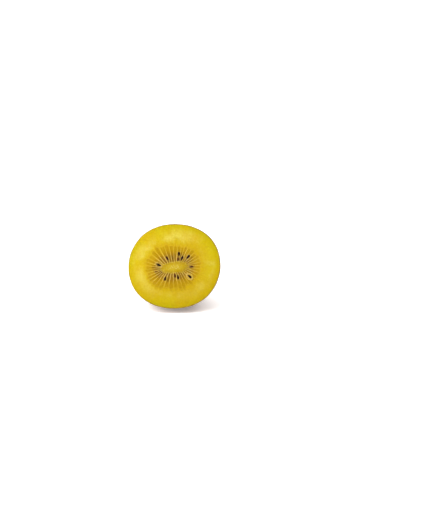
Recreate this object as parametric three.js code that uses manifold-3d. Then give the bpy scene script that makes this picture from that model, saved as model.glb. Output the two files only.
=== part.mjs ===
// A golden kiwi fruit, cut across a little past its middle and lying on its side with the cut face to the front.
// Units are millimetres and +Z is up. The cut face looks towards -Y and leans back a little.
// The origin is on the surface that the fruit rests on, under the middle of the fruit's box.

import * as THREE from "three";
import { mergeVertices } from "three/addons/utils/BufferGeometryUtils.js";
import Module from "manifold-3d";

const wasm = await Module();
wasm.setup();

// The whole fruit, before it is cut. Its long axis is Y, and the stem end is at the back.
const HALF_WIDTH = 27.4; // widest section, from its axis to the side
const HALF_THICKNESS = 25.1; // widest section, from its axis to the top
const HALF_LENGTH = 37; // from the widest section to the stem end
const BARREL = 0.03; // how much fuller than an ellipsoid the shoulders are
const SECTION_TURN = THREE.MathUtils.degToRad(6.8); // the oval section's long way, up from level
const SQUARENESS = 0.01; // the section bulges by this share at its four corners
const SQUARE_TURN = THREE.MathUtils.degToRad(41.6); // the first of those corners, up from level
const SKIN_AROUND = 72; // facets round the fruit
const SKIN_ALONG = 30; // rows of facets from end to end

// The cut and the way that the fruit lies
const CUT_PAST_MIDDLE = 6; // the knife goes in this far in front of the widest section
const LEAN = THREE.MathUtils.degToRad(15); // the cut face leans back from upright
const FLAT_DEPTH = 0.45; // how far its own weight has flattened the skin under it

// The core: a pale, raised pillow that is wider than it is high
const CORE_HALF_WIDTH = 7.2;
const CORE_HALF_HEIGHT = 2.9;
const CORE_RISE = 0.55;
const CORE_DROP = 1.3; // the core's middle is this far below the face's
const CORE_AROUND = 28; // facets round the core
const CORE_ALONG = 10;

// Locules: narrow pockets in the cut face that fan out from the core
const LOCULES = 38;
const POCKET_FROM = 0.09; // reach of a pocket's inner tip, where 0 is the core's edge and 1 the skin
const POCKET_TO = 0.47; // reach of its outer tip
const POCKET_SHARE = 0.62; // share of the room between two neighbours that a pocket takes
const POCKET_DEPTH = 0.45;
const POCKET_TAPER = 0.45; // how much narrower a pocket is at its inner tip

// Seeds that the knife laid bare: the locule that each lies in, its reach, length and width
const SEEDS = [
  { locule: 0.6, reach: 0.153, length: 2.2, width: 1.1 },
  { locule: 5, reach: 0.255, length: 2.4, width: 1.3 },
  { locule: 6.7, reach: 0.147, length: 2.5, width: 1.15 },
  { locule: 8, reach: 0.241, length: 2.3, width: 1.25 },
  { locule: 8, reach: 0.119, length: 2.1, width: 1.0 },
  { locule: 12, reach: 0.148, length: 2.2, width: 1.05 },
  { locule: 17, reach: 0.113, length: 2.5, width: 1.5 },
  { locule: 21, reach: 0.179, length: 2.0, width: 1.0 },
  { locule: 25.5, reach: 0.202, length: 2.2, width: 1.2 },
  { locule: 29, reach: 0.07, length: 2.3, width: 1.05 },
  { locule: 30, reach: 0.127, length: 2.4, width: 1.15 },
  { locule: 34, reach: 0.24, length: 2.6, width: 1.5 },
];
const SEED_THICKNESS = 0.8; // share of its width
const SEED_PROUD = 0.5; // how far a seed stands out of the cut face
const SEED_TAPER = 0.55; // how much slimmer a seed is at the tip that points to the core
const GRAIN_AROUND = 8; // facets round a seed or a pocket
const GRAIN_ALONG = 6;

// The stem end: a dimple with withered sepals, a corky collar and the pit where the stalk broke off
const DIMPLE_DEPTH = 0.9;
const DIMPLE_RADIUS = 5;
const SEPALS = 5;
const SEPAL_TIP = 5.4; // from the pit's middle to a sepal's tip
const SEPAL_NOTCH = 3.4; // from the pit's middle to the notch between two sepals
const SEPAL_POINT = 1.4; // 1 is a round tip, and more is a sharper one
const SEPAL_RISE = 0.6; // how far a sepal's rib stands out of the skin
const SEPAL_FOLD = 0.6; // how much lower the notches are than the ribs
const COLLAR_RADIUS = 2;
const COLLAR_THICKNESS = 0.6;
const PIT_RADIUS = 1.3;
const PIT_DEPTH = 1.5;
const STEM_AROUND = 40; // facets round the stem end's pieces
const STEM_ALONG = 8;

// Makes a closed solid of a geometry, whose own normals and texture coordinates aren't needed.
function solidOf(geometry) {
  const bare = geometry.clone();
  bare.deleteAttribute("normal");
  bare.deleteAttribute("uv");
  const merged = mergeVertices(bare, 1e-4);
  return new wasm.Manifold(
    new wasm.Mesh({
      numProp: 3,
      vertProperties: merged.attributes.position.array,
      triVerts: new Uint32Array(merged.index.array),
    }),
  );
}

function geometryOf(solid) {
  const mesh = solid.getMesh();
  const geometry = new THREE.BufferGeometry();
  geometry.setAttribute("position", new THREE.BufferAttribute(mesh.vertProperties, 3));
  geometry.setIndex(new THREE.BufferAttribute(mesh.triVerts, 1));
  return geometry;
}

// Moves every vertex of a geometry to where place(vertex) puts it.
function shape(geometry, place) {
  const position = geometry.attributes.position;
  const vertex = new THREE.Vector3();
  for (let i = 0; i < position.count; i++) {
    place(vertex.fromBufferAttribute(position, i));
    position.setXYZ(i, vertex.x, vertex.y, vertex.z);
  }
  return geometry;
}

// The widest section's radius at an angle, counted from +X towards +Z.
function sectionRadius(angle) {
  const across = Math.cos(angle - SECTION_TURN) / HALF_WIDTH;
  const up = Math.sin(angle - SECTION_TURN) / HALF_THICKNESS;
  return (1 + SQUARENESS * Math.cos(4 * (angle - SQUARE_TURN))) / Math.hypot(across, up);
}

// The point of the fruit's skin in a direction, given as a unit vector. The cut plane is Y = 0.
function skinPoint(direction) {
  const along = direction.y;
  const angle = Math.atan2(direction.z, direction.x);
  const slimness = Math.sqrt(Math.max(0, 1 - along * along));
  const shoulder = 1 + BARREL * 4 * along ** 2 * (1 - along ** 2);
  const radius = sectionRadius(angle) * slimness * shoulder;
  const dimple = along > 0 ? DIMPLE_DEPTH * Math.exp(-((radius / DIMPLE_RADIUS) ** 2)) : 0;
  return new THREE.Vector3(
    radius * Math.cos(angle),
    CUT_PAST_MIDDLE + HALF_LENGTH * along - dimple,
    radius * Math.sin(angle),
  );
}

function wholeFruit() {
  const ball = new THREE.SphereGeometry(1, SKIN_AROUND, SKIN_ALONG);
  return solidOf(shape(ball, (vertex) => vertex.copy(skinPoint(vertex.normalize()))));
}

// A box much larger than the fruit that holds all that lies below the plane through the origin.
function everythingBelow(axis) {
  const size = 6 * HALF_LENGTH;
  const box = new THREE.BoxGeometry(size, size, size);
  box.translate(...axis.clone().multiplyScalar(-size / 2));
  return solidOf(box);
}

// A point of the cut face. Turn goes round the core in radians, and reach runs from its edge (0) to the skin (1).
function facePoint(turn, reach) {
  const core = new THREE.Vector3(
    CORE_HALF_WIDTH * Math.cos(turn),
    0,
    CORE_HALF_HEIGHT * Math.sin(turn) - CORE_DROP,
  );
  const skinShare = Math.sqrt(1 - (CUT_PAST_MIDDLE / HALF_LENGTH) ** 2);
  const rim = new THREE.Vector3(
    HALF_WIDTH * skinShare * Math.cos(turn),
    0,
    HALF_THICKNESS * skinShare * Math.sin(turn),
  );
  return core.lerp(rim, reach);
}

function turnOf(locule) {
  return (2 * Math.PI * locule) / LOCULES;
}

// A ball drawn out to its length, slimmer by taper at the tip nearer the core, and laid on the face along its ray.
function grainOnFace({ locule, reach, length, width, thickness, taper, proud }) {
  const turn = turnOf(locule);
  const middle = facePoint(turn, reach);
  const ray = facePoint(turn, 1).sub(facePoint(turn, 0));
  const ball = new THREE.SphereGeometry(1, GRAIN_AROUND, GRAIN_ALONG).rotateX(Math.PI / 2);
  const grain = shape(ball, (vertex) => {
    const slim = 1 - taper * (0.5 - vertex.z / 2);
    vertex.set(
      (vertex.x * slim * width) / 2,
      (vertex.y * slim * thickness) / 2,
      (vertex.z * length) / 2,
    );
  });
  grain.rotateY(Math.atan2(ray.x, ray.z));
  grain.translate(middle.x, thickness / 2 - proud, middle.z);
  return solidOf(grain);
}

function pocket(locule) {
  const turn = turnOf(locule);
  const middle = (POCKET_FROM + POCKET_TO) / 2;
  const room = facePoint(turn, middle).distanceTo(facePoint(turnOf(locule + 1), middle));
  return grainOnFace({
    locule,
    reach: middle,
    length: facePoint(turn, POCKET_FROM).distanceTo(facePoint(turn, POCKET_TO)),
    width: room * POCKET_SHARE,
    thickness: 2 * POCKET_DEPTH,
    taper: POCKET_TAPER,
    proud: POCKET_DEPTH,
  });
}

function seed(place) {
  return grainOnFace({
    ...place,
    thickness: place.width * SEED_THICKNESS,
    taper: SEED_TAPER,
    proud: SEED_PROUD,
  });
}

function core() {
  const pillow = new THREE.SphereGeometry(1, CORE_AROUND, CORE_ALONG);
  pillow.scale(CORE_HALF_WIDTH, CORE_RISE, CORE_HALF_HEIGHT);
  pillow.translate(0, 0, -CORE_DROP);
  return solidOf(pillow);
}

// Lays a geometry, made round +Y at the origin, over the skin of the stem end.
function onStemEnd(geometry) {
  return shape(geometry, (vertex) => {
    const angle = Math.atan2(vertex.z, vertex.x);
    const slope = Math.asin(Math.hypot(vertex.x, vertex.z) / sectionRadius(angle));
    const direction = new THREE.Vector3(
      Math.sin(slope) * Math.cos(angle),
      Math.cos(slope),
      Math.sin(slope) * Math.sin(angle),
    );
    vertex.y += skinPoint(direction).y;
  });
}

// The withered sepals, grown together round the pit into a low star with a rib along each.
function sepals() {
  const star = shape(new THREE.SphereGeometry(1, STEM_AROUND, STEM_ALONG), (vertex) => {
    const rib = (1 + Math.cos(SEPALS * Math.atan2(vertex.z, vertex.x))) / 2;
    const tip = THREE.MathUtils.lerp(SEPAL_NOTCH, SEPAL_TIP, rib ** SEPAL_POINT);
    const fold = SEPAL_FOLD * Math.hypot(vertex.x, vertex.z) * (1 - rib);
    vertex.set(vertex.x * tip, vertex.y * SEPAL_RISE * (1 - fold), vertex.z * tip);
  });
  return solidOf(onStemEnd(star));
}

function collar() {
  const ring = new THREE.TorusGeometry(COLLAR_RADIUS, COLLAR_THICKNESS, STEM_ALONG, STEM_AROUND);
  ring.rotateX(Math.PI / 2).translate(0, SEPAL_RISE / 2, 0);
  return solidOf(onStemEnd(ring));
}

function pit() {
  const hollow = new THREE.SphereGeometry(1, STEM_AROUND / 2, STEM_ALONG);
  hollow.scale(PIT_RADIUS, PIT_DEPTH, PIT_RADIUS).translate(0, SEPAL_RISE / 2, 0);
  return solidOf(onStemEnd(hollow));
}

function stemEnd(fruit) {
  return fruit.add(sepals()).add(collar()).subtract(pit());
}

function cutFace(fruit) {
  let finished = fruit.subtract(everythingBelow(new THREE.Vector3(0, 1, 0)));
  for (let locule = 0; locule < LOCULES; locule++) finished = finished.subtract(pocket(locule));
  finished = finished.add(core());
  for (const each of SEEDS) finished = finished.add(seed(each));
  return finished;
}

// Leans the cut face back, presses the fruit's flat spot and puts the origin under the middle of its box.
function layDown(fruit) {
  const leaning = geometryOf(fruit).rotateX(-LEAN);
  leaning.computeBoundingBox();
  leaning.translate(0, 0, -leaning.boundingBox.min.z - FLAT_DEPTH);
  const floor = everythingBelow(new THREE.Vector3(0, 0, 1));
  const resting = geometryOf(solidOf(leaning).subtract(floor));
  resting.computeBoundingBox();
  const middle = resting.boundingBox.getCenter(new THREE.Vector3());
  return resting.translate(-middle.x, -middle.y, 0);
}

const flesh = new THREE.MeshStandardMaterial({
  name: "flesh",
  color: 0xe2be2e,
  roughness: 0.45,
  metalness: 0,
});

const half = new THREE.Mesh(layDown(cutFace(stemEnd(wholeFruit()))), flesh);
half.name = "kiwi_half";

const kiwi = new THREE.Group();
kiwi.add(half);

export default kiwi;
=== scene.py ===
"""A golden kiwi fruit, cut across and lying on its side: its skin, flesh, seeds and stem end."""

import math
import random
from collections import namedtuple

import bpy
from mathutils import Matrix, Vector, noise


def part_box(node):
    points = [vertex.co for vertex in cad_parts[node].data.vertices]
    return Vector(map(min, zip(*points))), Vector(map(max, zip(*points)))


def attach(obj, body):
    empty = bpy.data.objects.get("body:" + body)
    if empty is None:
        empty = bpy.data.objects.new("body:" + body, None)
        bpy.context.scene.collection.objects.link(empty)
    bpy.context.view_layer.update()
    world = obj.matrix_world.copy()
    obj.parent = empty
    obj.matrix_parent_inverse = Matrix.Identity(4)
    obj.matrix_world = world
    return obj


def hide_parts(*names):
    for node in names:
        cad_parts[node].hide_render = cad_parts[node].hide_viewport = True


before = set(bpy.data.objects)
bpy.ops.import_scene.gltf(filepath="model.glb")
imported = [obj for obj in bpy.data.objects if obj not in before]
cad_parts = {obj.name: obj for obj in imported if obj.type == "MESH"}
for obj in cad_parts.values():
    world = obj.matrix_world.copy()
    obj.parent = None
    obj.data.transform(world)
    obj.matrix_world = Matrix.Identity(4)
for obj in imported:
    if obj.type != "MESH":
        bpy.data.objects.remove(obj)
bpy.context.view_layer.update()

MM = 0.001

# The whole fruit before it is cut. Its long axis is Y and the knife goes through Y = 0.
HALF_WIDTH = 27.4 * MM
HALF_THICKNESS = 25.1 * MM
HALF_LENGTH = 37 * MM
BARREL = 0.03
SECTION_TURN = math.radians(6.8)
SQUARENESS = 0.01
SQUARE_TURN = math.radians(41.6)
CUT_PAST_MIDDLE = 6 * MM
CUT_ALONG = -CUT_PAST_MIDDLE / HALF_LENGTH
LEAN = math.radians(15)
DIMPLE_DEPTH = 0.9 * MM
DIMPLE_RADIUS = 5 * MM
FLAT_SOFTNESS = 0.06 * MM

# The skin
SKIN_THICKNESS = 0.25 * MM
SKIN_WAVES = 0.1 * MM
SKIN_AROUND = 240
SKIN_ALONG = 150

# The cut face. Reach is -1 in the middle of the core, 0 at the core's edge and 1 at the skin.
CORE_HALF_WIDTH = 7.4 * MM
CORE_HALF_HEIGHT = 2.9 * MM
CORE_TURN = math.radians(6)
CORE_RISE = 0.15 * MM
CORE_DROP = 0.6 * MM
CORE_SQUARENESS = 3
LOCULES = 38
LOCULE_SWAY = 0.22 * MM
POCKET_TO = 0.48
POCKET_DEPTH = 0.28 * MM
DEEP_TO = 0.2
SHALLOW_FROM = 0.36
SHALLOW_SHARE = 0.35
LOPSIDED = 0.035
WALL_SHARE = 0.07
WALL_SOFTNESS = 0.1
RING_PAST_LOCULES = -0.02
RING_SCALLOP = 0.07
RING_SOFTNESS = 0.03
PALER_RIGHT = 1
FLESH_FIBRES = 0.05 * MM
FLESH_WAVES = 0.12 * MM
COLUMNS = 16
CORE_ROWS = 20
FACE_ROWS = 100
DOME_ROWS = 18

# Seeds that the knife laid bare. Their place is counted round the core in locules, and lean is how far they turn
# off their spoke, in degrees. Tone runs from black (0) to pale brown (1), and halo is how pale their sheath is.
Seed = namedtuple("Seed", "place reach lean length width tone halo")
SEEDS = [
    Seed(4.4, 0.212, -3, 2.7 * MM, 1.5 * MM, 0.1, 0.2),
    Seed(6.3, 0.115, 2, 2.9 * MM, 1.35 * MM, 0.1, 0.1),
    Seed(7.7, 0.221, 14, 2.5 * MM, 1.45 * MM, 0.05, 0.1),
    Seed(7.7, 0.079, 6, 2.3 * MM, 1.25 * MM, 0.35, 0.1),
    Seed(11.7, 0.141, 8, 2.5 * MM, 1.3 * MM, 0.25, 0.15),
    Seed(16.4, 0.121, -3, 2.9 * MM, 1.75 * MM, 0, 0.5),
    Seed(20.3, 0.179, -8, 2.1 * MM, 1.1 * MM, 0.85, 0),
    Seed(25.1, 0.198, 6, 2.5 * MM, 1.4 * MM, 0.2, 0.1),
    Seed(28.4, 0.093, -6, 2.5 * MM, 1.25 * MM, 0.45, 0.2),
    Seed(29.4, 0.147, -9, 2.7 * MM, 1.35 * MM, 0.15, 0.1),
    Seed(32.9, 0.257, 6, 3 * MM, 1.85 * MM, 0, 0.95),
    Seed(37.1, 0.133, 10, 2.5 * MM, 1.3 * MM, 0.35, 0.1),
]
SEED_THICKNESS = 0.8
SEED_PROUD = 0.5 * MM
SEED_TAPER = 0.45
SEED_AROUND = 32
SEED_ALONG = 24
SHEATH_MARGIN = 0.85 * MM
SHEATH_RISE = 0.12 * MM

# The stem end
CRUST_RADIUS = 6.6 * MM
CRUST_RAGGED = 1.4 * MM
CRUST_RISE = 0.08 * MM
CRUST_BED = 0.5 * MM
RIDGE_SPACING = 1.35 * MM
RIDGE_RISE = 0.24 * MM
CRACK_DEPTH = 0.32 * MM
COLLAR_RADIUS = 1.9 * MM
COLLAR_WIDTH = 0.6 * MM
COLLAR_RISE = 0.4 * MM
PIT_RADIUS = 1.2 * MM
PIT_RAGGED = 0.5 * MM
PIT_DEPTH = 1.5 * MM
STEM_AROUND = 240
STEM_ALONG = 140

# The photograph and the studio
IMAGE_SIZE = (435, 520)
PIXELS_TO_A_METRE = 1.717 / MM
FACE_IN_PHOTO = (174.3, 266.3)
LENS = 85
SENSOR = 36
LIGHT_LEVEL = 2.01

chance = random.Random(38)
LOCULE_ENDS = [chance.uniform(-0.06, 0.045) for _ in range(LOCULES)]
LOCULE_DEPTHS = [chance.uniform(0.5, 1.15) for _ in range(LOCULES)]
LOCULE_TINTS = [chance.uniform(0, 1) for _ in range(LOCULES)]
WALL_WIDTHS = [chance.uniform(0.4, 1.7) for _ in range(LOCULES)]
SHADOWS = [
    (chance.randrange(LOCULES), chance.uniform(0.08, 0.26), chance.uniform(0.35, 0.9))
    for _ in range(16)
]


def smooth_step(low, high, value):
    share = min(1, max(0, (value - low) / (high - low)))
    return share * share * (3 - 2 * share)


# Places on the fruit


def section_radius(angle):
    across = math.cos(angle - SECTION_TURN) / HALF_WIDTH
    up = math.sin(angle - SECTION_TURN) / HALF_THICKNESS
    return (1 + SQUARENESS * math.cos(4 * (angle - SQUARE_TURN))) / math.hypot(across, up)


def skin_point(angle, along):
    """The fruit's skin at an angle round its axis. Along runs from -1 at the front tip to 1 at the stem end."""
    shoulder = 1 + BARREL * 4 * along**2 * (1 - along**2)
    radius = section_radius(angle) * math.sqrt(max(0, 1 - along**2)) * shoulder
    dimple = DIMPLE_DEPTH * math.exp(-((radius / DIMPLE_RADIUS) ** 2)) if along > 0 else 0
    back = CUT_PAST_MIDDLE + HALF_LENGTH * along - dimple
    return Vector((radius * math.cos(angle), back, radius * math.sin(angle)))


def crust_bed(out):
    """How deep the skin and the flesh dip under the stem end's crust, this far out from the fruit's axis."""
    return CRUST_BED * smooth_step(0.9 * CRUST_RADIUS, 0.6 * CRUST_RADIUS, out)


def laid_down():
    """The matrix that lays the fruit down as the frame's solid lies, from the cut's rim and the frame's box."""
    low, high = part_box("kiwi_half")
    rim = [skin_point(math.radians(degree), CUT_ALONG) for degree in range(360)]
    back = low.y - min(point.z for point in rim) * math.sin(LEAN)
    up = high.z - max(point.z for point in rim) * math.cos(LEAN)
    return Matrix.Translation((0, back, up)) @ Matrix.Rotation(-LEAN, 4, "X")


LAID_DOWN = laid_down()
CORE_LAY = Matrix.Translation((0, 0, -CORE_DROP)) @ Matrix.Rotation(-CORE_TURN, 4, "Y")
FROM_CORE = CORE_LAY.inverted()


def turn_at(locule):
    """The turn at which a locule lies. They are a little wider or narrower, so that each bare seed lies in one."""
    pins = sorted({(round(seed.place), seed.place) for seed in SEEDS})
    pins.append((pins[0][0] + LOCULES, pins[0][1] + LOCULES))
    number = (locule - pins[0][0]) % LOCULES + pins[0][0]
    for (first, start), (last, end) in zip(pins, pins[1:]):
        if number <= last:
            place = start + (end - start) * (number - first) / (last - first)
            return 2 * math.pi * place / LOCULES


class Spoke:
    """A line of the cut face along a locule or between two, from the core's middle over its edge to the skin."""

    def __init__(self, locule):
        turn = turn_at(locule)
        self.across = math.cos(turn)
        self.up = math.sin(turn)
        self.angle = math.atan2(HALF_THICKNESS * self.up, HALF_WIDTH * self.across) + CORE_TURN
        self.middle = CORE_LAY.translation
        self.core_edge = CORE_LAY @ Vector((CORE_HALF_WIDTH * self.across, 0, CORE_HALF_HEIGHT * self.up))
        rim = skin_point(self.angle, CUT_ALONG)
        rim.y = 0
        self.rim = rim * (1 - 0.9 * SKIN_THICKNESS / rim.length)
        self.ray = (self.rim - self.core_edge).normalized()
        self.side = Vector((self.ray.z, 0, -self.ray.x))
        self.locule = locule
        self.index = round(locule) % LOCULES
        off_middle = locule - round(locule)
        self.from_wall = 0.5 - abs(off_middle)
        self.wall = WALL_SHARE * WALL_WIDTHS[math.floor(locule) % LOCULES]
        neighbour = (self.index + (1 if off_middle > 0 else -1)) % LOCULES
        end = LOCULE_ENDS[self.index]
        self.end = POCKET_TO + end + (LOCULE_ENDS[neighbour] - end) * abs(off_middle)
        self.end -= LOPSIDED * self.across

    def point(self, reach):
        if reach < 0:
            return self.middle.lerp(self.core_edge, 1 + reach)
        free = smooth_step(0, 0.25, reach) * smooth_step(1, 0.7, reach)
        sway = noise.noise(Vector((4 * self.across, 4 * self.up, 5 * reach)))
        return self.core_edge.lerp(self.rim, reach) + self.side * (LOCULE_SWAY * sway * free)

    def pocket(self, reach):
        """1 in the middle of a locule, and 0 on the pale walls between locules and outside them."""
        along = reach / self.end
        if not 0 < along < 1:
            return 0
        bluntness = 12 if along < 0.5 else 10
        narrowing = 0.5 - math.sqrt(1 - abs(2 * along - 1) ** bluntness) / 2
        inside = smooth_step(0, WALL_SOFTNESS, self.from_wall - self.wall - narrowing)
        return inside * smooth_step(1, 0.92, along)

    def ring(self, reach):
        """1 in the amber ring, whose outer edge bulges out past the end of each locule."""
        edge = self.end + RING_PAST_LOCULES + RING_SCALLOP * math.sin(math.pi * self.from_wall)
        return smooth_step(edge + RING_SOFTNESS, edge - RING_SOFTNESS, reach)

    def shadow(self, reach):
        """Seeds that lie just under the face show as dim spots."""
        dark = 0
        for place, far, strength in SHADOWS:
            across = (self.locule - place + LOCULES / 2) % LOCULES - LOCULES / 2
            distance = math.hypot(across / 0.36, (reach - far) / 0.05)
            dark = max(dark, strength * smooth_step(1.2, 0.3, distance))
        return dark


SEED_PLACES = [(seed, Spoke(round(seed.place))) for seed in SEEDS]


def core_share(point):
    """1 on the core and 0 outside it. The core is a squarish oval with a ragged edge."""
    from_middle = FROM_CORE @ point
    across = abs(from_middle.x) / CORE_HALF_WIDTH
    up = abs(from_middle.z) / CORE_HALF_HEIGHT
    distance = (across**CORE_SQUARENESS + up**CORE_SQUARENESS) ** (1 / CORE_SQUARENESS)
    ragged = 0.25 * noise.noise(point * 350) + 0.3 * noise.noise(point * 1100)
    return smooth_step(1.18, 0.88, distance + ragged)


def seed_halo(point):
    """The pale sheath round each seed: strongest in a ring a little off the seed, and 0 further out."""
    halo = 0
    for seed, spoke in SEED_PLACES:
        away = point - spoke.point(seed.reach)
        along = away.dot(spoke.ray)
        across = away.x * spoke.ray.z - away.z * spoke.ray.x
        distance = math.hypot(
            along / (seed.length / 2 + SHEATH_MARGIN),
            across / (seed.width / 2 + SHEATH_MARGIN),
        )
        ring = 0.5 + 0.5 * smooth_step(0.62, 0.82, distance)
        halo = max(halo, seed.halo * ring * smooth_step(1.08, 0.94, distance))
    return halo


# Ways to make a piece


def ball(name, around, along):
    """Adds a ball of radius 1 whose poles lie on Y, the first one in front."""
    bpy.ops.object.select_all(action="DESELECT")
    turned = (math.pi / 2, 0, 0)
    bpy.ops.mesh.primitive_uv_sphere_add(segments=around, ring_count=along, rotation=turned)
    bpy.ops.object.transform_apply(location=False, rotation=True, scale=False)
    piece = bpy.context.active_object
    piece.name = name
    piece.data.name = name
    return piece


def shape(piece, place):
    """Moves each vertex to where place(vertex) puts it."""
    for vertex in piece.data.vertices:
        vertex.co = place(vertex.co.copy())
    piece.data.update()


def write_values(piece, name, values):
    """Writes a number or a vector for each vertex, for the material to read."""
    values = list(values)
    is_number = isinstance(values[0], (int, float))
    kind, key = ("FLOAT", "value") if is_number else ("FLOAT_VECTOR", "vector")
    written = piece.data.attributes.new(name, kind, "POINT")
    for item, value in zip(written.data, values):
        setattr(item, key, value)


def write_fruit(piece):
    """Writes each vertex's place in the upright fruit, for the skin's streaks."""
    write_values(piece, "fruit", [vertex.co / HALF_WIDTH for vertex in piece.data.vertices])


def lay_down(piece):
    """Lays a finished piece down and presses it flat where it would go through the surface."""
    piece.data.transform(LAID_DOWN)
    for vertex in piece.data.vertices:
        height = vertex.co.z / FLAT_SOFTNESS
        if height < 6:
            vertex.co.z = FLAT_SOFTNESS * math.log1p(math.exp(height))
    piece.data.update()


def finish_piece(piece, material):
    lay_down(piece)
    piece.data.materials.clear()
    piece.data.materials.append(material)
    bpy.ops.object.select_all(action="DESELECT")
    piece.select_set(True)
    bpy.context.view_layer.objects.active = piece
    bpy.ops.object.shade_smooth()
    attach(piece, "root")
    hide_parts("kiwi_half")


# The pieces


def make_skin(material):
    """The thin skin: the whole fruit's ball, cut through with the knife and given its thickness inwards."""
    skin = ball("skin", SKIN_AROUND, SKIN_ALONG)

    def place(vertex):
        angle = math.atan2(vertex.z, vertex.x)
        point = skin_point(angle, max(-1, min(1, vertex.y)))
        outwards = Vector((vertex.x, 0.4 * vertex.y, vertex.z)).normalized()
        wave = noise.fractal(vertex * 4, 0.8, 2.1, 4)
        out = math.hypot(point.x, point.z)
        stem = smooth_step(2.4 * MM, 1.6 * MM, out) if point.y > 0 else 0
        if point.y > 0:
            point.y -= crust_bed(out) + 2 * PIT_DEPTH * stem
        return point + outwards * (SKIN_WAVES * (wave - 0.5) * (1 - stem))

    shape(skin, place)
    bpy.ops.object.mode_set(mode="EDIT")
    bpy.ops.mesh.select_all(action="SELECT")
    bpy.ops.mesh.bisect(plane_co=(0, 0, 0), plane_no=(0, -1, 0), clear_outer=True)
    bpy.ops.object.mode_set(mode="OBJECT")
    wall = skin.modifiers.new("wall", "SOLIDIFY")
    wall.thickness = SKIN_THICKNESS
    wall.offset = -1
    bpy.ops.object.modifier_apply(modifier=wall.name)
    write_fruit(skin)
    finish_piece(skin, material)


def make_flesh(material):
    """The flesh: a ball whose front is pressed into the cut face, row by row, and whose back fills the skin."""
    rows = CORE_ROWS + FACE_ROWS + DOME_ROWS
    flesh = ball("flesh", COLUMNS * LOCULES, rows)
    spokes = [Spoke(number / COLUMNS) for number in range(COLUMNS * LOCULES)]
    names = ["reach", "fan", "core", "ring", "pocket", "tint", "shadow", "halo"]
    written = {name: [] for name in names}

    def write(**values):
        for name in written:
            written[name].append(values.get(name, 0.0))

    def face(spoke, reach):
        point = spoke.point(reach)
        core = core_share(point) if reach < 0.1 else 0.0
        pocket = spoke.pocket(reach) * (1 - core)
        halo = seed_halo(point) if 0 < reach < 0.45 else 0.0
        shadow = spoke.shadow(reach) * (1 - halo) if pocket else 0.0
        write(
            reach=reach,
            fan=Vector((spoke.across, spoke.up, reach)),
            core=core,
            ring=spoke.ring(reach),
            pocket=pocket,
            tint=LOCULE_TINTS[spoke.index] + PALER_RIGHT * max(0, spoke.across) ** 3,
            shadow=shadow,
            halo=halo,
        )
        fibre = noise.fractal(Vector((14 * spoke.across, 14 * spoke.up, 10 * reach)), 0.7, 2.2, 3)
        rise = FLESH_FIBRES * fibre * min(1, 1 + reach)
        rise += FLESH_WAVES * noise.noise(point * 120)
        rise += SHEATH_RISE * halo
        depth = POCKET_DEPTH * LOCULE_DEPTHS[spoke.index]
        depth *= 1 - (1 - SHALLOW_SHARE) * smooth_step(DEEP_TO, SHALLOW_FROM, reach)
        rise -= depth * pocket * (1 - halo)
        if reach < 0:
            rise += CORE_RISE * (1 - (1 + reach) ** 2) ** 1.3
        point.y = 0.15 * MM * smooth_step(0.985, 1, reach) - rise
        return point

    def dome(spoke, share):
        write(reach=1.0, fan=Vector((spoke.across, spoke.up, 1)))
        start = math.asin(CUT_ALONG)
        along = math.sin(start + (math.pi / 2 - start) * share)
        point = skin_point(spoke.angle, along) * (1 - 0.9 * SKIN_THICKNESS / HALF_THICKNESS)
        out = math.hypot(point.x, point.z)
        point.y -= crust_bed(out) + 2 * PIT_DEPTH * smooth_step(4 * MM, 2 * MM, out)
        return point

    def place(vertex):
        turn = math.atan2(vertex.z, vertex.x)
        spoke = spokes[round(turn / (2 * math.pi) * len(spokes)) % len(spokes)]
        from_front = math.atan2(math.hypot(vertex.x, vertex.z), -vertex.y)
        row = round(from_front / math.pi * rows) - CORE_ROWS
        if row < 0:
            return face(spoke, row / CORE_ROWS)
        if row <= FACE_ROWS:
            share = row / FACE_ROWS
            return face(spoke, share * (0.65 + 0.35 * share))
        return dome(spoke, (row - FACE_ROWS) / DOME_ROWS)

    shape(flesh, place)
    for name, values in written.items():
        write_values(flesh, name, values)
    finish_piece(flesh, material)


def model_seed():
    """One seed, 1 long and 1 wide: a drop with its tip down, flattened, and finely pitted all over."""
    seed = ball("seed", SEED_AROUND, SEED_ALONG)

    def place(vertex):
        slim = 1 - SEED_TAPER * (0.5 - vertex.z / 2) ** 1.5
        half = slim * (1 + 0.035 * noise.noise(vertex * 6)) / 2
        return Vector((vertex.x * half, vertex.y * half, vertex.z / 2))

    shape(seed, place)
    return seed


def make_seeds(material):
    """Copies the seed to each bare seed's place, more or less along its spoke and with its tip to the core."""
    master = model_seed()
    for number, (place, spoke) in enumerate(SEED_PLACES, 1):
        seed = master.copy()
        seed.data = master.data.copy()
        seed.name = f"seed_{number:02d}"
        seed.data.name = seed.name
        bpy.context.collection.objects.link(seed)
        thickness = place.width * SEED_THICKNESS
        middle = spoke.point(place.reach)
        middle.y = thickness / 2 - SEED_PROUD * (1 - 0.6 * place.tone)
        size = Matrix.Diagonal((place.width, thickness, place.length, 1))
        outwards = math.atan2(spoke.ray.x, spoke.ray.z) - math.radians(place.lean)
        turned = Matrix.Rotation(outwards, 4, "Y")
        seed.data.transform(Matrix.Translation(middle) @ turned @ size)
        write_values(seed, "tone", [float(place.tone)] * len(seed.data.vertices))
        finish_piece(seed, material)
    bpy.data.objects.remove(master)


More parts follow.
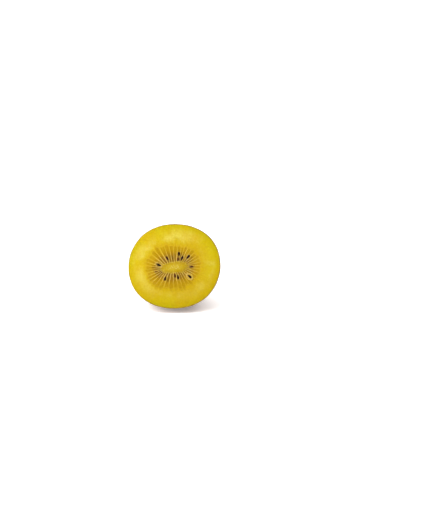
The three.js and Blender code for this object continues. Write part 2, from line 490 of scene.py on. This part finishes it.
def make_stem_end(material):
    """The crust of withered sepals, ridged and cracked, and the corky collar round the pit, in one grown piece."""
    stem_end = ball("stem_end", STEM_AROUND, STEM_ALONG)
    written = {"crease_shade": [], "out": [], "rim": []}

    def relief(around, share, out):
        """The height over the skin, and how deep this place lies in the pit, a crack or a hollow between ridges,
        which sets its painted shade.
        """
        spot = around * (out / MM)
        ridges = around * 1.8 + Vector((0, 0, out / RIDGE_SPACING)) + 0.5 * noise.noise_vector(spot * 0.6)
        ridge = abs(noise.noise(ridges))
        split = abs(noise.noise(spot * 1.3 + Vector((0, 0, 5))))
        width = 0.05 + 0.35 * abs(noise.noise(spot * 0.9 + Vector((0, 0, 9))))
        crack = max(smooth_step(width, 0, ridge), 0.6 * smooth_step(0.07, 0, split))
        hollow = 0.45 * (1 - min(1, ridge / 0.3))
        free = smooth_step(0.28, 0.42, share) * smooth_step(1, 0.7, share)
        collar = math.exp(-(((out - COLLAR_RADIUS) / COLLAR_WIDTH) ** 2))
        pit_radius = PIT_RADIUS + PIT_RAGGED * noise.noise(around * 1.4)
        pit = smooth_step(pit_radius * 1.2, pit_radius * 0.6, out)
        height = CRUST_RISE * smooth_step(1, 0.55, share) - 0.1 * MM * share**6
        height += (RIDGE_RISE * min(1, ridge / 0.4) - CRACK_DEPTH * crack) * free
        height += COLLAR_RISE * collar * (0.75 + noise.noise(around * 3)) - PIT_DEPTH * pit
        return height, max(pit, free * crack, free * hollow)

    def place(vertex):
        angle = math.atan2(vertex.z, vertex.x)
        around = Vector((math.cos(angle), math.sin(angle), 0))
        edge = CRUST_RADIUS + CRUST_RAGGED * (noise.fractal(around * 1.5, 0.7, 2.2, 4) - 0.3)
        share = math.hypot(vertex.x, vertex.z)
        height, crease_shade = -0.8 * MM, 0.0
        if vertex.y > 0:
            share = math.atan2(share, vertex.y) / (math.pi / 2)
            height, crease_shade = relief(around, share, edge * share)
        out = edge * share
        slope = math.asin(min(0.9, out / section_radius(angle)))
        base = skin_point(angle, math.cos(slope)).y
        written["crease_shade"].append(crease_shade)
        written["out"].append(out / CRUST_RADIUS)
        written["rim"].append(smooth_step(0.5, 0.95, share))
        return Vector((out * around.x, base + height, out * around.y))

    shape(stem_end, place)
    for name, values in written.items():
        write_values(stem_end, name, values)
    write_fruit(stem_end)
    finish_piece(stem_end, material)


# Ways to make a material


def paint(red, green, blue):
    """A colour as it looks on screen in this light, 0 to 255, as the linear colour that a shader takes."""

    def linear(value):
        value /= 255
        return value / 12.92 if value <= 0.04045 else ((value + 0.055) / 1.055) ** 2.4

    return (linear(red) / LIGHT_LEVEL, linear(green) / LIGHT_LEVEL, linear(blue) / LIGHT_LEVEL, 1)


def add_node(tree, kind, inputs=None, **settings):
    """Adds a node. Its settings come first, because a group's sockets follow from them.
    Each input is a value, or another node's socket that is linked to it."""
    node = tree.nodes.new(kind)
    for name, value in settings.items():
        setattr(node, name, value)
    for key, value in (inputs or {}).items():
        if isinstance(value, bpy.types.NodeSocket):
            tree.links.new(value, node.inputs[key])
        else:
            node.inputs[key].default_value = value
    return node


def mixed(tree, share, first, second):
    inputs = {0: share, 6: first, 7: second}
    return add_node(tree, "ShaderNodeMix", inputs, data_type="RGBA").outputs[2]


def spread(tree, value, low, high, to_low=0, to_high=1):
    inputs = {"Value": value, "From Min": low, "From Max": high, "To Min": to_low, "To Max": to_high}
    return add_node(tree, "ShaderNodeMapRange", inputs).outputs["Result"]


def calculated(tree, operation, first, second):
    return add_node(tree, "ShaderNodeMath", {0: first, 1: second}, operation=operation).outputs[0]


def ramp(tree, value, stops):
    """A colour that follows value through (position, colour) stops."""
    node = add_node(tree, "ShaderNodeValToRGB", {"Fac": value})
    elements = node.color_ramp.elements
    elements[0].position, elements[0].color = stops[0]
    elements[1].position, elements[1].color = stops[-1]
    for position, colour in stops[1:-1]:
        elements.new(position).color = colour
    return node.outputs["Color"]


def attribute(tree, name, output="Fac"):
    return add_node(tree, "ShaderNodeAttribute", attribute_name=name).outputs[output]


def stretched(tree, place, scale):
    return add_node(tree, "ShaderNodeMapping", {"Vector": place, "Scale": scale}).outputs[0]


def bump(tree, height, distance, strength=1):
    inputs = {"Height": height, "Distance": distance, "Strength": strength}
    return add_node(tree, "ShaderNodeBump", inputs).outputs["Normal"]


def new_group(name, inputs, outputs):
    """An empty node group with its named sockets, and the sockets of its two ends."""
    group = bpy.data.node_groups.new(name, "ShaderNodeTree")
    for socket, kind in inputs.items():
        group.interface.new_socket(socket, in_out="INPUT", socket_type=kind)
    for socket in outputs:
        group.interface.new_socket(socket, in_out="OUTPUT", socket_type="NodeSocketFloat")
    start = group.nodes.new("NodeGroupInput")
    end = group.nodes.new("NodeGroupOutput")
    return group, start.outputs, end.inputs


def mottle_group():
    """Cloudy variation from 0 to 1 at a stated size, for colour that is uneven as grown things are."""
    inputs = {"Place": "NodeSocketVector", "Scale": "NodeSocketFloat", "Sharpness": "NodeSocketFloat"}
    group, given, wanted = new_group("mottle", inputs, ["Share"])
    inputs = {"Vector": given["Place"], "Scale": given["Scale"], "Detail": 4, "Roughness": 0.6}
    clouds = add_node(group, "ShaderNodeTexNoise", inputs).outputs[0]
    centred = calculated(group, "SUBTRACT", clouds, 0.5)
    sharper = calculated(group, "MULTIPLY", centred, given["Sharpness"])
    share = add_node(group, "ShaderNodeMath", {0: sharper, 1: 0.5}, operation="ADD", use_clamp=True)
    group.links.new(share.outputs[0], wanted["Share"])
    return group


def grain_group():
    """Fine relief for a bump's height, and a roughness that varies with it between two values."""
    inputs = {
        "Place": "NodeSocketVector",
        "Scale": "NodeSocketFloat",
        "Smoothest": "NodeSocketFloat",
        "Roughest": "NodeSocketFloat",
    }
    group, given, wanted = new_group("grain", inputs, ["Height", "Roughness"])
    inputs = {"Vector": given["Place"], "Scale": given["Scale"], "Detail": 6, "Roughness": 0.65}
    fine = add_node(group, "ShaderNodeTexNoise", inputs).outputs[0]
    inputs = {"Vector": given["Place"], "Scale": given["Scale"]}
    cells = add_node(group, "ShaderNodeTexVoronoi", inputs, feature="SMOOTH_F1")
    height = calculated(group, "ADD", fine, cells.outputs["Distance"])
    group.links.new(height, wanted["Height"])
    rough = spread(group, fine, 0.3, 0.7, given["Smoothest"], given["Roughest"])
    group.links.new(rough, wanted["Roughness"])
    return group


MOTTLE = mottle_group()
GRAIN = grain_group()


def mottle(tree, place, scale, sharpness):
    inputs = {"Place": place, "Scale": scale, "Sharpness": sharpness}
    return add_node(tree, "ShaderNodeGroup", inputs, node_tree=MOTTLE).outputs["Share"]


def grain(tree, place, scale, smoothest, roughest):
    inputs = {"Place": place, "Scale": scale, "Smoothest": smoothest, "Roughest": roughest}
    return add_node(tree, "ShaderNodeGroup", inputs, node_tree=GRAIN).outputs


def new_material(name):
    """A material with its tree, its shader and its Object coordinates."""
    material = bpy.data.materials.new(name)
    material.use_nodes = True
    tree = material.node_tree
    shader = tree.nodes["Principled BSDF"]
    place = add_node(tree, "ShaderNodeTexCoord").outputs["Object"]
    return material, tree, shader, place


# The materials


def outer_colour(tree, reach, place, low):
    """The flesh outside the amber ring, with paler and more golden patches. Low is 1 at the fruit's underside,
    where painted shade darkens the flesh, and the pale patches fade there so that the top looks lit.
    """
    colour = ramp(
        tree,
        reach,
        [
            (0.5, paint(219, 186, 20)),
            (0.6, paint(223, 194, 31)),
            (0.7, paint(226, 201, 34)),
            (0.8, paint(223, 200, 18)),
            (0.9, paint(213, 192, 0)),
            (0.96, paint(207, 190, 0)),
            (1, paint(192, 176, 0)),
        ],
    )
    zone = ramp(tree, reach, [(0.48, (0, 0, 0, 1)), (0.66, (1, 1, 1, 1)), (0.94, (0, 0, 0, 1))])
    pale = calculated(tree, "MULTIPLY", mottle(tree, place, 72, 7), zone)
    # Painted light and shade: the pale patches show most at the top and least at the underside.
    pale_patches_lit_on_top = spread(tree, low, 0, 1, 0.95, 0.6)
    colour = mixed(tree, calculated(tree, "MULTIPLY", pale, pale_patches_lit_on_top), colour, paint(242, 222, 96))
    golden = calculated(tree, "MULTIPLY", mottle(tree, place, 62, 6), 0.55)
    colour = mixed(tree, golden, colour, paint(220, 176, 0))
    # Painted shade: the underside is darkened towards a deeper gold.
    return mixed(tree, calculated(tree, "MULTIPLY", low, 0.25), colour, paint(170, 136, 0))


def wall_colour(tree, reach):
    """The walls between the locules: cream by the core and golden further out."""
    return ramp(
        tree,
        reach,
        [
            (0, paint(218, 188, 60)),
            (0.1, paint(230, 194, 106)),
            (0.2, paint(226, 186, 84)),
            (0.28, paint(222, 180, 50)),
            (0.38, paint(220, 178, 34)),
            (0.5, paint(218, 177, 26)),
            (0.62, paint(218, 180, 22)),
        ],
    )


def pulp_colour(tree, reach):
    """The pulp in the locules: brownish where the seeds lie and amber further out."""
    pulp = ramp(
        tree,
        reach,
        [
            (0, paint(162, 120, 20)),
            (0.04, paint(131, 80, 24)),
            (0.14, paint(127, 70, 26)),
            (0.21, paint(146, 88, 14)),
            (0.27, paint(176, 125, 2)),
            (0.36, paint(189, 143, 0)),
            (0.46, paint(194, 152, 0)),
            (0.56, paint(198, 158, 0)),
        ],
    )
    tint = calculated(tree, "MULTIPLY", attribute(tree, "tint"), 0.35)
    return mixed(tree, tint, pulp, paint(204, 160, 16))


def core_colour(tree, reach, place):
    """The pale core, with a band of cream dots along its middle."""
    colour = ramp(
        tree,
        spread(tree, reach, -1, 0.02),
        [
            (0, paint(222, 194, 60)),
            (0.5, paint(212, 180, 22)),
            (0.8, paint(198, 163, 0)),
            (1, paint(182, 144, 4)),
        ],
    )
    uneven = calculated(tree, "MULTIPLY", mottle(tree, place, 700, 4), 0.35)
    colour = mixed(tree, uneven, colour, paint(206, 172, 22))
    dots = add_node(tree, "ShaderNodeTexVoronoi", {"Vector": place, "Scale": 1000}).outputs["Distance"]
    band = spread(tree, reach, -0.3, -0.7, 0.1, 0.6)
    dotted = calculated(tree, "MULTIPLY", spread(tree, dots, 0.5, 0.1), band)
    return mixed(tree, dotted, colour, paint(248, 230, 124))


def flesh_material():
    material, tree, shader, place = new_material("golden flesh")
    reach = attribute(tree, "reach")
    fan = attribute(tree, "fan", "Vector")
    fibres = mottle(tree, stretched(tree, fan, (1, 1, 0.18)), 26, 2.2)
    fine_fibres = mottle(tree, stretched(tree, fan, (1, 1, 0.12)), 70, 2.5)
    uneven = calculated(tree, "ADD", fibres, mottle(tree, place, 130, 2))
    frayed = calculated(tree, "ADD", reach, spread(tree, uneven, 0, 2, -0.045, 0.045))
    fine = grain(tree, place, 1100, 0.22, 0.4)
    # Low runs from 0 at the top to 1 at the fruit's underside. It sets the painted shade below and the painted
    # lighter top.
    height = add_node(tree, "ShaderNodeSeparateXYZ", {"Vector": place}).outputs["Z"]
    low = spread(tree, height, 24 * MM, 5 * MM)
    colour = outer_colour(tree, frayed, place, low)
    grown_together = mixed(tree, attribute(tree, "pocket"), wall_colour(tree, frayed), pulp_colour(tree, frayed))
    # Painted shade: the ring and the locules darken towards the underside.
    ring_with_painted_shade_below = mixed(tree, calculated(tree, "MULTIPLY", low, 0.7), grown_together, paint(158, 118, 0))
    colour = mixed(tree, attribute(tree, "ring"), colour, ring_with_painted_shade_below)
    colour = mixed(tree, attribute(tree, "core"), colour, core_colour(tree, reach, place))
    colour = mixed(tree, attribute(tree, "halo"), colour, paint(218, 182, 96))
    shadow = calculated(tree, "MULTIPLY", attribute(tree, "shadow"), 0.75)
    colour = mixed(tree, shadow, colour, paint(92, 46, 10))
    streaks = calculated(tree, "MULTIPLY", fine_fibres, spread(tree, reach, -0.1, 0.1, 0, 0.26))
    colour = mixed(tree, streaks, colour, paint(240, 216, 20))
    between_cells = spread(tree, fine["Height"], 0.8, 1.2, 0, 0.2)
    colour = mixed(tree, between_cells, colour, paint(190, 150, 0))
    tree.links.new(colour, shader.inputs["Base Color"])
    relief = calculated(tree, "SUBTRACT", calculated(tree, "MULTIPLY", fibres, 1.5), fine["Height"])
    tree.links.new(bump(tree, relief, 0.03 * MM, 0.9), shader.inputs["Normal"])
    tree.links.new(fine["Roughness"], shader.inputs["Roughness"])
    shader.inputs["Subsurface Weight"].default_value = 0.3
    shader.inputs["Subsurface Radius"].default_value = (1, 0.6, 0.12)
    shader.inputs["Subsurface Scale"].default_value = 0.5 * MM
    shader.inputs["IOR"].default_value = 1.33
    shader.inputs["Specular IOR Level"].default_value = 0.18
    shader.inputs["Coat Weight"].default_value = 0.08
    shader.inputs["Coat Roughness"].default_value = 0.18
    shader.inputs["Coat IOR"].default_value = 1.33
    return material


def skin_colour(tree, fruit, place, dark):
    """Pinkish and golden brown, in patches and in fine streaks along the fruit, with dark pores."""
    patches = mottle(tree, place, 46, 5)
    colour = mixed(tree, patches, paint(194, 129, 76), paint(176, 112, 4))
    streaks = mottle(tree, stretched(tree, fruit, (1, 0.2, 1)), 28, 3)
    colour = mixed(tree, calculated(tree, "MULTIPLY", streaks, 0.5), colour, paint(140, 82, 20))
    russet = mottle(tree, stretched(tree, fruit, (1, 0.4, 1)), 110, 4)
    colour = mixed(tree, calculated(tree, "MULTIPLY", russet, 0.35), colour, paint(196, 136, 72))
    flecks = mottle(tree, place, 1300, 6)
    colour = mixed(tree, calculated(tree, "MULTIPLY", flecks, 0.35), colour, paint(130, 78, 24))
    return mixed(tree, calculated(tree, "MULTIPLY", dark, 0.7), colour, paint(94, 54, 22))


def pores(tree, place):
    """Fine dark pores, from 0 to 1. Each cell has a size of its own, and many have none."""
    cells = add_node(tree, "ShaderNodeTexVoronoi", {"Vector": place, "Scale": 1150}).outputs
    chosen = add_node(tree, "ShaderNodeSeparateColor", {"Color": cells["Color"]}).outputs["Red"]
    size = spread(tree, chosen, 0.2, 1, 0, 0.3)
    inside = calculated(tree, "SUBTRACT", size, cells["Distance"])
    return spread(tree, inside, -0.06, 0.08)


def skin_material():
    material, tree, shader, place = new_material("brown skin")
    fruit = attribute(tree, "fruit", "Vector")
    dark = pores(tree, place)
    colour = skin_colour(tree, fruit, place, dark)
    # Painted light: the skin within about a millimetre of the cut is painted yellow, as if the flesh's light shone
    # through it.
    behind_cut = add_node(tree, "ShaderNodeSeparateXYZ", {"Vector": fruit}).outputs["Y"]
    glow_near_cut_painted = spread(tree, behind_cut, 0.03, 0.002, 0, 0.85)
    colour = mixed(tree, glow_near_cut_painted, colour, paint(178, 152, 20))
    tree.links.new(colour, shader.inputs["Base Color"])
    fine = grain(tree, place, 1700, 0.34, 0.55)
    height = calculated(tree, "ADD", fine["Height"], calculated(tree, "MULTIPLY", dark, 0.8))
    tree.links.new(bump(tree, height, 0.07 * MM, 0.9), shader.inputs["Normal"])
    tree.links.new(fine["Roughness"], shader.inputs["Roughness"])
    shader.inputs["Specular IOR Level"].default_value = 0.25
    shader.inputs["Sheen Weight"].default_value = 0.05
    shader.inputs["Sheen Roughness"].default_value = 0.35
    shader.inputs["Sheen Tint"].default_value = (0.85, 0.62, 0.5, 1)
    return material


def seed_material():
    material, tree, shader, place = new_material("glossy seed")
    uneven = calculated(tree, "SUBTRACT", mottle(tree, place, 900, 2), 0.5)
    tone = calculated(tree, "MULTIPLY", uneven, 0.25)
    colour = ramp(
        tree,
        calculated(tree, "ADD", attribute(tree, "tone"), tone),
        [
            (0, paint(20, 3, 0)),
            (0.25, paint(54, 14, 2)),
            (0.5, paint(98, 42, 8)),
            (1, paint(150, 110, 26)),
        ],
    )
    tree.links.new(colour, shader.inputs["Base Color"])
    fine = grain(tree, place, 3500, 0.28, 0.45)
    tree.links.new(bump(tree, fine["Height"], 0.02 * MM), shader.inputs["Normal"])
    tree.links.new(fine["Roughness"], shader.inputs["Roughness"])
    shader.inputs["Specular IOR Level"].default_value = 0.16
    shader.inputs["Specular Tint"].default_value = (1, 0.6, 0.36, 1)
    return material


def stem_end_material():
    material, tree, shader, place = new_material("withered stem end")
    cork = ramp(
        tree,
        attribute(tree, "out"),
        [
            (0, paint(104, 76, 10)),
            (0.17, paint(124, 90, 14)),
            (0.26, paint(206, 164, 84)),
            (0.38, paint(212, 164, 92)),
            (0.6, paint(206, 148, 100)),
            (1, paint(194, 132, 84)),
        ],
    )
    clouds = calculated(tree, "MULTIPLY", mottle(tree, place, 500, 2.5), 0.5)
    colour = mixed(tree, clouds, cork, paint(168, 108, 62))
    uneven = spread(tree, mottle(tree, place, 600, 3), 0, 1, -0.25, 0.25)
    rim = calculated(tree, "ADD", attribute(tree, "rim"), uneven)
    into_skin = spread(tree, rim, 0.25, 0.8)
    skin = skin_colour(tree, attribute(tree, "fruit", "Vector"), place, pores(tree, place))
    colour = mixed(tree, into_skin, colour, skin)
    # Painted shade: the pit, the cracks and the hollows between the ridges are darkened by how deep they lie.
    colour = mixed(tree, attribute(tree, "crease_shade"), colour, paint(90, 54, 18))
    tree.links.new(colour, shader.inputs["Base Color"])
    fine = grain(tree, place, 1700, 0.6, 0.85)
    tree.links.new(bump(tree, fine["Height"], 0.09 * MM), shader.inputs["Normal"])
    smoother = spread(tree, into_skin, 0, 1, 1, 0.65)
    rough = calculated(tree, "MULTIPLY", fine["Roughness"], smoother)
    tree.links.new(rough, shader.inputs["Roughness"])
    shader.inputs["Specular IOR Level"].default_value = 0.25
    return material


# Camera, floor and light


def make_camera():
    """A camera square on to the face, with the face where the photograph has it."""
    camera = bpy.data.objects.new("camera", bpy.data.cameras.new("camera"))
    bpy.context.collection.objects.link(camera)
    camera.data.lens = LENS
    camera.data.sensor_width = SENSOR
    camera.data.dof.use_dof = False
    across = (IMAGE_SIZE[0] / 2 - FACE_IN_PHOTO[0]) / PIXELS_TO_A_METRE
    up = (FACE_IN_PHOTO[1] - IMAGE_SIZE[1] / 2) / PIXELS_TO_A_METRE
    distance = IMAGE_SIZE[1] / PIXELS_TO_A_METRE * LENS / SENSOR
    face = Matrix.Translation(LAID_DOWN.translation)
    square_on = Matrix.Rotation(math.pi / 2 - LEAN, 4, "X")
    camera.matrix_world = face @ square_on @ Matrix.Translation((across, up, distance))
    bpy.context.scene.camera = camera


def make_floor():
    bpy.ops.object.select_all(action="DESELECT")
    bpy.ops.mesh.primitive_plane_add(size=40)
    floor = bpy.context.active_object
    floor.name = "floor"
    material, tree, shader, place = new_material("pale floor")
    shader.inputs["Base Color"].default_value = (0.9, 0.9, 0.9, 1)
    shader.inputs["Roughness"].default_value = 1
    shader.inputs["Specular IOR Level"].default_value = 0
    shader.inputs["Emission Color"].default_value = (1, 1, 1, 1)
    shader.inputs["Emission Strength"].default_value = 0.25
    floor.data.materials.append(material)


def add_softbox(name, away, size, power):
    """A round soft light that looks at the cut face from the given distances to it."""
    light = bpy.data.lights.new(name, "AREA")
    light.shape = "DISK"
    light.size = size
    light.energy = power
    softbox = bpy.data.objects.new(name, light)
    softbox.visible_camera = False
    bpy.context.collection.objects.link(softbox)
    away = Vector(away)
    aimed = (-away).to_track_quat("-Z", "Y").to_matrix().to_4x4()
    softbox.matrix_world = Matrix.Translation(LAID_DOWN.translation + away) @ aimed


def make_light():
    """White light from above that dims towards the horizon, and softboxes at the upper left and behind."""
    world = bpy.data.worlds.new("studio")
    world.use_nodes = True
    tree = world.node_tree
    background = tree.nodes["Background"]
    direction = add_node(tree, "ShaderNodeTexCoord").outputs["Generated"]
    height = add_node(tree, "ShaderNodeSeparateXYZ", {"Vector": direction}).outputs["Z"]
    lit = spread(tree, calculated(tree, "MULTIPLY", height, height), 0, 1, 0.15, 2.2)
    seen = add_node(tree, "ShaderNodeLightPath").outputs["Is Camera Ray"]
    strength = add_node(tree, "ShaderNodeMix", {0: seen, 2: lit, 3: 1.0}).outputs[0]
    tree.links.new(strength, background.inputs["Strength"])
    background.inputs["Color"].default_value = (1, 1, 1, 1)
    bpy.context.scene.world = world
    add_softbox("key", (-0.17, -0.12, 0.15), 0.28, 1.2)
    add_softbox("rim", (0.2, 0.26, 0.16), 0.18, 0.35)
    bpy.context.scene.view_settings.view_transform = "Standard"


make_camera()
make_skin(skin_material())
make_flesh(flesh_material())
make_seeds(seed_material())
make_stem_end(stem_end_material())
make_floor()
make_light()
